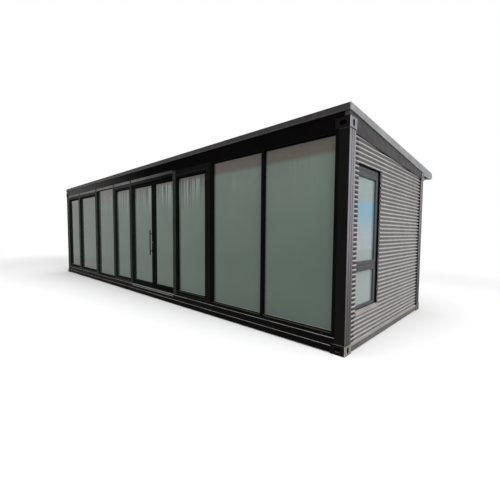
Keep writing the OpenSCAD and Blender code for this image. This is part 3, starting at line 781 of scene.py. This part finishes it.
def meeting_seal():
    """Brush seal down the left leaf's meeting edge, inside the gap between the leaves."""
    low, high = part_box("left_leaf_frame")
    glass_low, glass_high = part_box("left_leaf_glass")
    seal = shape([(0, -5), (3, -5), (3, -1.5), (5, -1), (5, 1), (3, 1.5), (3, 5), (0, 5)],
                 (high.x, (glass_low.y + glass_high.y) / 2))
    bm = bmesh.new()
    extrusion(bm, seal, low.z + 5 * MM, high.z - 5 * MM, along_z)
    piece("meeting_seal", bm, "rubber", "window_profile", "left_leaf")


def threshold():
    """Dark ribbed threshold plate with a bright nose, and the bright strip across the face of the sill."""
    plate, strip = sorted(solids("door_threshold"), key=lambda box: -box[1].z)
    low, high = plate
    count, groove = 9, 2 * MM
    nose, floor = low.y + 7 * MM, high.z - groove
    pitch = (high.y - nose) / (count + 1)
    ribs = [(nose, low.z), (nose, floor)]
    for i in range(count):
        ribs += shape([(0, 0), (1.5, 2), (4.5, 2), (6, 0)], (nose + (i + 0.5) * pitch, floor))
    ribs += [(high.y, floor), (high.y, low.z)]
    bm = bmesh.new()
    extrusion(bm, ribs, low.x, high.x)
    piece("threshold_ribs", bm, "rubber", "threshold_plate", replaces=["door_threshold"])
    bm = bmesh.new()
    for low, high, back in ((*plate, nose), (*strip, strip[1].y)):
        extrusion(bm, [
            (back, low.z), (low.y + MM, low.z), (low.y, low.z + MM), (low.y, high.z - 2 * MM),
            (low.y + 2 * MM, high.z), (back, high.z)], low.x, high.x)
    piece("threshold_strips", bm, "threshold_plate", "threshold_plate", replaces=["door_threshold"])


pull_handles()
leaf_screws("right_leaf")
leaf_screws("left_leaf")
meeting_seal()
threshold()


# ---------------- corrugated cladding

WAVE_STEPS = 12
SHEET_T = 1.2 * MM

right_low, right_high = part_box("right_cladding")
left_low, left_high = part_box("left_cladding")
back_low, back_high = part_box("back_cladding")
opening_low, opening_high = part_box("window_frame")


def wave_heights(low, high, *levels):
    """Heights of the rows of a corrugated sheet, with a row at each given level."""
    step = WAVE_PITCH / WAVE_STEPS
    count = math.ceil((high - low) / step)
    rows = [low + i * step for i in range(count)] + [high, *levels]
    rows.sort()
    kept = [rows[0]]
    for z in rows[1:]:
        if z in levels or z == high:
            if z - kept[-1] < 0.3 * step and kept[-1] not in levels:
                kept.pop()
            kept.append(z)
        elif z - kept[-1] > 0.3 * step:
            kept.append(z)
    return kept


def wave_sheet(side, columns, place, sloping=False, hole=None):
    """Corrugated sheet in the box of a side's cladding.

    columns are the distances along the wall of its vertical edges, and place(along, depth, z) gives
    a corner, with the depth counted inwards from the crests. hole is the two corners of an opening.
    """
    node = side + "_cladding"
    low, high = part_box(node)
    depth = min(high.x - low.x, high.y - low.y) - SHEET_T
    bm = bmesh.new()
    rows = wave_heights(low.z, high.z, *(corner.z for corner in hole or ()))
    grid = []
    for z in rows:
        dip = depth / 2 * (1 - math.cos(2 * math.pi * (z - low.z) / WAVE_PITCH))
        grid.append([bm.verts.new(place(along, dip, z)) for along in columns])
    for i, z in enumerate(rows[:-1]):
        for j, along in enumerate(columns[:-1]):
            if hole and all(hole[0][k] - MM < start < hole[1][k] - MM for k, start in ((1, along), (2, z))):
                continue
            bm.faces.new((grid[i][j], grid[i][j + 1], grid[i + 1][j + 1], grid[i + 1][j]))
    if sloping:
        front_z, rise = top_slope(node)
        cut_off(bm, (0, low.y, front_z), (0, -rise, 1))
    bmesh.ops.delete(bm, geom=[v for v in bm.verts if not v.link_faces], context="VERTS")
    bmesh.ops.recalc_face_normals(bm, faces=bm.faces)
    outward = Vector(place(columns[0], 0, low.z)) - Vector(place(columns[0], 1, low.z))
    if sum(face.normal.dot(outward) for face in bm.faces) < 0:
        bmesh.ops.reverse_faces(bm, faces=bm.faces)
    bmesh.ops.solidify(bm, geom=bm.faces[:], thickness=SHEET_T)
    piece(side + "_corrugated_sheet", bm, "corrugated_sheet", "corrugated_sheet", replaces=[node])


def spread(low, high, count, margin=40 * MM):
    """Evenly spaced places, the first and last a margin in from the ends."""
    return [low + margin + (high - low - 2 * margin) * i / (count - 1) for i in range(count)]


def screw_rows(top):
    """Heights of crests six waves apart, up to a sheet's top."""
    row = 6 * WAVE_PITCH
    z = SHEET_FOOT + row / 2
    while z < top - 30 * MM:
        yield z
        z += row


def sheet_screws():
    """Screws in the crests of the three sheets, left out where the end window is."""
    bm = bmesh.new()
    for side, x, out in (("right", right_high.x, 1), ("left", left_low.x, -1)):
        low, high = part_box(side + "_cladding")
        front_z, rise = top_slope(side + "_cladding")
        for y in spread(low.y, high.y, 5):
            by_window = out > 0 and opening_low.y - 20 * MM < y < opening_high.y + 20 * MM
            for z in screw_rows(front_z + rise * (y - low.y)):
                if not (by_window and opening_low.z - 60 * MM < z < opening_high.z + 20 * MM):
                    screw(bm, (x - 0.5 * MM, y, z), (out, 0, 0))
    for x in spread(back_low.x, back_high.x, 17):
        for z in screw_rows(back_high.z):
            screw(bm, (x, back_high.y - 0.5 * MM, z), (0, 1, 0))
    piece("sheet_screws", bm, "zinc", "hardware")


def drip_flashings():
    """Folded flashing under the end sheets, over the top edge of the base rails."""
    foot, head, drip = SHEET_FOOT, SHEET_FOOT + 1.5 * MM, SHEET_FOOT - 14 * MM
    bm = bmesh.new()
    for low, high in solids("end_base_rails"):
        rail, sheet, out = (high.x, right_low.x, 1) if high.x > 0 else (low.x, left_high.x, -1)
        nose = rail + out * 1.5 * MM
        fold = [(sheet, foot), (sheet, head), (nose, head), (nose, drip), (rail, drip), (rail, foot)]
        extrusion(bm, fold, low.y, high.y, along_y)
    piece("drip_flashings", bm, "sheet_flashing", "edge_trim")


wave_sheet("right", [right_low.y, opening_low.y, opening_high.y, right_high.y],
           lambda along, dip, z: (right_high.x - dip, along, z), sloping=True,
           hole=(opening_low, opening_high))
wave_sheet("left", [left_low.y, left_high.y],
           lambda along, dip, z: (left_low.x + dip, along, z), sloping=True)
wave_sheet("back", [back_low.x, back_high.x], lambda along, dip, z: (along, back_high.y - dip, z))
sheet_screws()
drip_flashings()


# ---------------- end window

def window_surround():
    """Lining of the outer reveal behind the sheet, black as painted shade in the recess, with a pale sill
    flashing under it.
    """
    low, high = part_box("window_trim")
    foot, lining = opening_low.z, 6 * MM
    bm = bmesh.new()
    # painted shade: the reveal lining is black for the shade in the recess
    swept_ring(bm, (0, low.y, foot), (0, high.y, opening_high.z), [
        (0, low.x), (0, right_low.x), (lining, right_low.x), (lining, low.x)], along_y)
    piece("window_reveal", bm, "black_steel", "edge_trim", replaces=["window_trim"])
    bm = bmesh.new()
    extrusion(bm, [
        (low.x, foot + lining), (low.x, foot + 16 * MM), (high.x - 2 * MM, foot + lining),
        (high.x, foot + lining - 2 * MM), (high.x, low.z), (high.x - 1.5 * MM, low.z),
        (high.x - 1.5 * MM, foot - 2 * MM), (right_high.x, foot)],
        low.y + 0.5 * MM, high.y - 0.5 * MM, along_y)
    piece("window_sill_flashing", bm, "sheet_flashing", "edge_trim", bevel=0.5 * MM,
          replaces=["window_trim"])


def window_outside(panes):
    """Sash seals, a black cover frame with a wider back jamb, partly painted shade on the window's bars,
    and flat sash bars on the window's outer face.
    """
    face = opening_high.x
    seals, cover, sashes = bmesh.new(), bmesh.new(), bmesh.new()
    for pane_low, pane_high in panes:
        swept_ring(seals, pane_low, pane_high,
                   shape([(-24, -1), (-24, 1), (-20, 1), (-20, -1)], (0, face)), along_y)
    piece("window_sash_seals", seals, "rubber", "window_profile")
    # black cover frame, in part painted shade over the window's side and head bars
    swept_ring(cover, opening_low, opening_high,
               shape([(0, 0), (0, 5), (20, 5), (22, 3), (22, 0)], (0, face)), along_y)
    # painted shade: a wider black strip on the back jamb
    inset = 21 * MM
    block(cover, (face, opening_high.y - 2 * inset, opening_low.z + inset),
          (face + 4 * MM, opening_high.y - inset, opening_high.z - inset))
    piece("window_cover_frame", cover, "black_steel", "window_profile")
    front_w, back_w, foot_h = 20 * MM, 60 * MM, 20 * MM
    for (low, high), head_h in zip(panes, (10 * MM, 45 * MM)):
        front, back = low.y + front_w, high.y - back_w
        jambs = [(low.y, front, low.z, high.z), (back, high.y, low.z, high.z)]
        rails = [(front, back, low.z, low.z + foot_h), (front, back, high.z - head_h, high.z)]
        for y0, y1, z0, z1 in jambs + rails:
            block(sashes, (high.x, y0, z0), (face + 2 * MM, y1, z1))
    piece("window_sashes", sashes, "window_coat", "window_profile", bevel=2 * MM)


def window_inside(panes):
    """Architrave round the window and a lever handle on its upper pane's jamb."""
    face = opening_low.x
    bm = bmesh.new()
    swept_ring(bm, opening_low, opening_high,
               shape([(-45, 0), (-45, -9), (-8, -12), (8, -12), (8, 0)], (0, face)), along_y)
    piece("window_architrave", bm, "wall_panel", "wall_panel", bevel=2 * MM)
    bm = bmesh.new()
    y, z = opening_low.y + 21 * MM, (panes[1][0].z + panes[1][1].z) / 2
    neck = shape([(0, 0), (14, 0), (14, 8), (9, 12), (8, 34), (0, 34)])
    lever = shape([(0, 0), (7, 1), (8, 12), (6, 110), (0, 114)])
    turned(bm, (face, y, z), (-1, 0, 0), neck, sides=20)
    turned(bm, (face - 28 * MM, y, z + 8 * MM), (0, 0, -1), lever)
    piece("window_handle", bm, "hardware", "hardware")


window_panes = sorted(solids("window_glass"), key=lambda box: box[0].z)
window_surround()
window_outside(window_panes)
window_inside(window_panes)
glazing("end_window", "window_glass", "window_coat", place=along_y)


# ---------------- roof

def lengths(node, axis, count):
    """The CAD node's mesh cut across an axis into equal lengths with a hair gap between them."""
    low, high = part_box(node)
    gap = 2 * MM
    whole = bmesh.new()
    for i in range(count):
        bm = clean_copy(node)
        for side, share in ((-1, i), (1, i + 1)):
            if share in (0, count):
                continue
            centre, normal = Vector(), Vector()
            centre[axis] = low[axis] + (high[axis] - low[axis]) * share / count - side * gap / 2
            normal[axis] = side
            cut = cut_off(bm, centre, normal)["geom_cut"]
            edges = [part for part in cut if isinstance(part, bmesh.types.BMEdge)]
            bmesh.ops.holes_fill(bm, edges=edges, sides=0)
        mesh = mesh_of("length", bm)
        whole.from_mesh(mesh)
        bpy.data.meshes.remove(mesh)
    return whole


def sealant(node):
    """The CAD node's mesh a little smaller, so that it shows as sealant in the gaps of its lengths."""
    inset = 1.5 * MM
    bm = clean_copy(node)
    bm.normal_update()
    for vert in bm.verts:
        vert.co -= vert.normal * inset
    return bm


def trim_lengths():
    """The end trims in two lengths each and the back eave in four, with sealant in their gaps."""
    for name, node, axis, count in (("roof_end_trim_lengths", "roof_end_trims", 1, 2),
                                    ("rear_eave_lengths", "rear_eave", 0, 4)):
        piece(name, lengths(node, axis, count), "edge_trim", "edge_trim", bevel=2 * MM, replaces=[node])
    for node in ("roof_end_trims", "rear_eave"):
        piece(node + "_sealant", sealant(node), "rubber", "edge_trim")


def front_fascia():
    """Folded fascia with a rolled top edge and a lip turned out along its foot."""
    low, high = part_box("front_fascia")
    back_top = high.z + top_slope("roof_panel")[1] * (high.y - low.y)
    foot = shape([(-2, 0), (-3, 1), (-3, 8), (3, 14)], (low.y, low.z))
    head = shape([(3, -12), (0, -9), (0, 0)], (low.y, high.z))
    bm = bmesh.new()
    extrusion(bm, [(high.y, low.z), *foot, *head, (high.y, back_top)], low.x, high.x)
    piece("front_fascia_folds", bm, "dark_grey", node_slots["front_fascia"], replaces=["front_fascia"])


def roof_sheeting():
    """Ribbed roof panels, with the tops of their ribs at the top of the CAD panel, and their screws."""
    low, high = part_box("roof_panel")
    front_z, rise = top_slope("roof_panel")
    verts = [v.co for v in frame["nodes"]["roof_panel"].data.vertices]
    under = front_z - min(v.z for v in verts if v.y < low.y + MM)
    rib_h, crest_w, foot_w = 16 * MM, 24 * MM, 56 * MM
    count = 40
    pitch = (high.x - low.x) / count
    outline = [(low.x, -under), (high.x, -under), (high.x, -rib_h)]
    for i in range(count - 1, 0, -1):
        x = low.x + i * pitch
        outline += [(x + foot_w / 2, -rib_h), (x + crest_w / 2, 0),
                    (x - crest_w / 2, 0), (x - foot_w / 2, -rib_h)]
    outline.append((low.x, -rib_h))

    def place(pair, y):
        return pair[0], y, front_z + pair[1] + rise * (y - low.y)

    bm = bmesh.new()
    extrusion(bm, outline, low.y, high.y, place)
    piece("roof_sheeting", bm, "roof_sheet", "roof_sheet", replaces=["roof_panel"])
    bm = bmesh.new()
    beside_rib = foot_w / 2 + 20 * MM
    for i in range(1, count, 2):
        for share in (0.03, 0.25, 0.5, 0.75, 0.97):
            spot = place((low.x + i * pitch + beside_rib, -rib_h), low.y + (high.y - low.y) * share)
            screw(bm, spot, (0, -rise, 1), radius=5 * MM)
    piece("roof_screws", bm, "zinc", "hardware")


trim_lengths()
front_fascia()
roof_sheeting()


# ---------------- inside

room_low = Vector((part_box("left_wall")[1].x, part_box("front_sill")[1].y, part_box("floor_deck")[1].z))
room_high = Vector((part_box("right_wall")[0].x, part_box("back_wall")[0].y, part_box("ceiling")[0].z))


def floor_boards():
    """Boards along the cabin, laid in a staggered bond on the lowered face of the deck."""
    board_t, board_w, board_l, gap, least = 8 * MM, 190 * MM, 2.2, 1.5 * MM, 10 * MM
    stagger = 0.37
    base = clean_copy("floor_deck")
    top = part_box("floor_deck")[1].z
    for vert in base.verts:
        if vert.co.z > top - MM:
            vert.co.z -= board_t
    piece("floor_deck_base", base, "floor_board", "floor_board", replaces=["floor_deck"])
    bm = bmesh.new()
    y, row = room_low.y, 0
    while y < room_high.y - least:
        y_end = min(y + board_w, room_high.y)
        x = room_low.x - (row * stagger % 1) * board_l
        while x < room_high.x:
            start, end = max(x, room_low.x), min(x + board_l, room_high.x)
            if end - start > least:
                block(bm, (start + gap / 2, y + gap / 2, top - board_t),
                      (end - gap / 2, y_end - gap / 2, top))
            x += board_l
        y, row = y + board_w, row + 1
    piece("floor_boards", bm, "floor_board", "floor_board", bevel=0.8 * MM, replaces=["floor_deck"])


def wall_joints():
    """Joint strips on the back wall and the ceiling, and a skirting along the back and end walls."""
    front_z, rise = top_slope("ceiling")
    ceiling_t, half_w, proud = 12 * MM, 22 * MM, 2.5 * MM
    ceiling_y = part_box("ceiling")[0].y
    count = 8

    def under(y):
        return front_z - ceiling_t + rise * (y - ceiling_y)

    def below_ceiling(pair, y):
        return pair[0], y, under(y) + pair[1]

    strips = bmesh.new()
    for i in range(1, count):
        x = room_low.x + (room_high.x - room_low.x) * i / count
        block(strips, (x - half_w, room_high.y - proud, room_low.z),
              (x + half_w, room_high.y, under(room_high.y)))
        corners = [(x - half_w, 0), (x + half_w, 0), (x + half_w, -proud), (x - half_w, -proud)]
        extrusion(strips, corners, room_low.y, room_high.y, below_ceiling)
    piece("panel_joint_strips", strips, "wall_panel", "wall_panel", bevel=0.8 * MM)
    skirting = bmesh.new()
    board = [(0, 0), (12, 0), (12, 52), (9, 62), (3, 68), (0, 70)]
    extrusion(skirting, shape(board, (room_high.y, room_low.z), (-1, 1)), room_low.x, room_high.x)
    for x, inwards in ((room_low.x, 1), (room_high.x, -1)):
        extrusion(skirting, shape(board, (x, room_low.z), (inwards, 1)),
                  room_low.y + 45 * MM, room_high.y - 12 * MM, along_y)
    piece("skirting", skirting, "wall_panel", "wall_panel")


floor_boards()
wall_joints()


# ---------------- floor, lights and camera

def seen_rays(tree):
    """1 for what the camera sees, straight, mirrored or through glass, and 0 for what only lights."""
    paths = tree.nodes.new("ShaderNodeLightPath").outputs
    seen = paths["Is Camera Ray"]
    for other in ("Is Glossy Ray", "Is Transmission Ray"):
        either = tree.nodes.new("ShaderNodeMath")
        either.operation = "MAXIMUM"
        tree.links.new(seen, either.inputs[0])
        tree.links.new(paths[other], either.inputs[1])
        seen = either.outputs[0]
    return seen


def stage_floor():
    """Pale floor that turns to plain white away from the cabin, so that no horizon shows."""
    reach = 60
    bm = bmesh.new()
    block(bm, (-reach, -reach, -0.1), (reach, reach, 0))
    floor = in_scene("studio_floor", mesh_of("studio_floor", bm))
    coat = Finish("studio_floor", Specular_IOR_Level=0.1, Roughness=0.9)
    floor.data.materials.append(coat.material)
    x, y = coat.times(coat.axis("X"), 0.6), coat.axis("Y")
    away = coat.math("SQRT", coat.math("ADD", coat.times(x, x), coat.times(y, y)))
    seen = seen_rays(coat.tree)
    pale = coat.mix(coat.blotches(40.0, 0.97, 1.0), (0.8, 0.8, 0.8), (0.86, 0.86, 0.86))
    coat.color(seen, (0.5, 0.49, 0.48), pale)
    glow = coat.tree.nodes.new("ShaderNodeEmission")
    blend = coat.tree.nodes.new("ShaderNodeMixShader")
    share = coat.times(coat.fade(away, 4.0, 9.0), seen)
    for socket, value in zip(blend.inputs, (share, coat.shader.outputs[0], glow.outputs[0])):
        coat.plug(socket, value)
    coat.plug(coat.tree.nodes["Material Output"].inputs["Surface"], blend.outputs[0])


def studio_world(ambient):
    """White all round where it is seen, and softer as a light."""
    world = bpy.data.worlds.new("studio")
    bpy.context.scene.world = world
    world.use_nodes = True
    nodes, links = world.node_tree.nodes, world.node_tree.links
    strength = nodes.new("ShaderNodeMapRange")
    links.new(seen_rays(world.node_tree), strength.inputs["Value"])
    strength.inputs["To Min"].default_value = ambient
    background = nodes["Background"]
    background.inputs["Color"].default_value = (1, 1, 1, 1)
    links.new(strength.outputs[0], background.inputs["Strength"])


def soft_light(name, place, target, size, watts):
    light = bpy.data.lights.new(name, "AREA")
    light.shape = "RECTANGLE"
    light.size, light.size_y = size
    light.energy = watts
    obj = in_scene(name, light)
    obj.location = place
    obj.rotation_euler = (Vector(target) - Vector(place)).to_track_quat("-Z", "Y").to_euler()
    obj.visible_glossy = False


def photo_camera():
    """Camera at the photograph's angle: its turn from +Y towards +X, its tilt down and its roll."""
    place = Vector((6.449, -4.852, 1.386))
    turn, tilt, roll = (math.radians(angle) for angle in (-43.42, 3.40, -0.44))
    forward = Vector((math.sin(turn) * math.cos(tilt), math.cos(turn) * math.cos(tilt), -math.sin(tilt)))
    level = Vector((math.cos(turn), -math.sin(turn), 0))
    down = forward.cross(level)
    right = math.cos(roll) * level + math.sin(roll) * down
    up = math.sin(roll) * level - math.cos(roll) * down
    data = bpy.data.cameras.new("camera")
    data.lens = 21.38
    data.sensor_width = 36
    camera = in_scene("camera", data)
    camera.matrix_world = Matrix.Translation(place) @ Matrix((right, up, -forward)).transposed().to_4x4()
    bpy.context.scene.camera = camera


stage_floor()
studio_world(ambient=0.45)
soft_light("key_light", (11, -3, 7), (4.5, -0.5, 1.2), (5, 5), 700)
soft_light("top_light", (0, 0, 9), (0, 0, 0), (14, 8), 900)
soft_light("front_light", (-2, -11, 5), (0, 0, 1.2), (10, 4), 350)
photo_camera()
bpy.context.scene.view_settings.view_transform = "Standard"
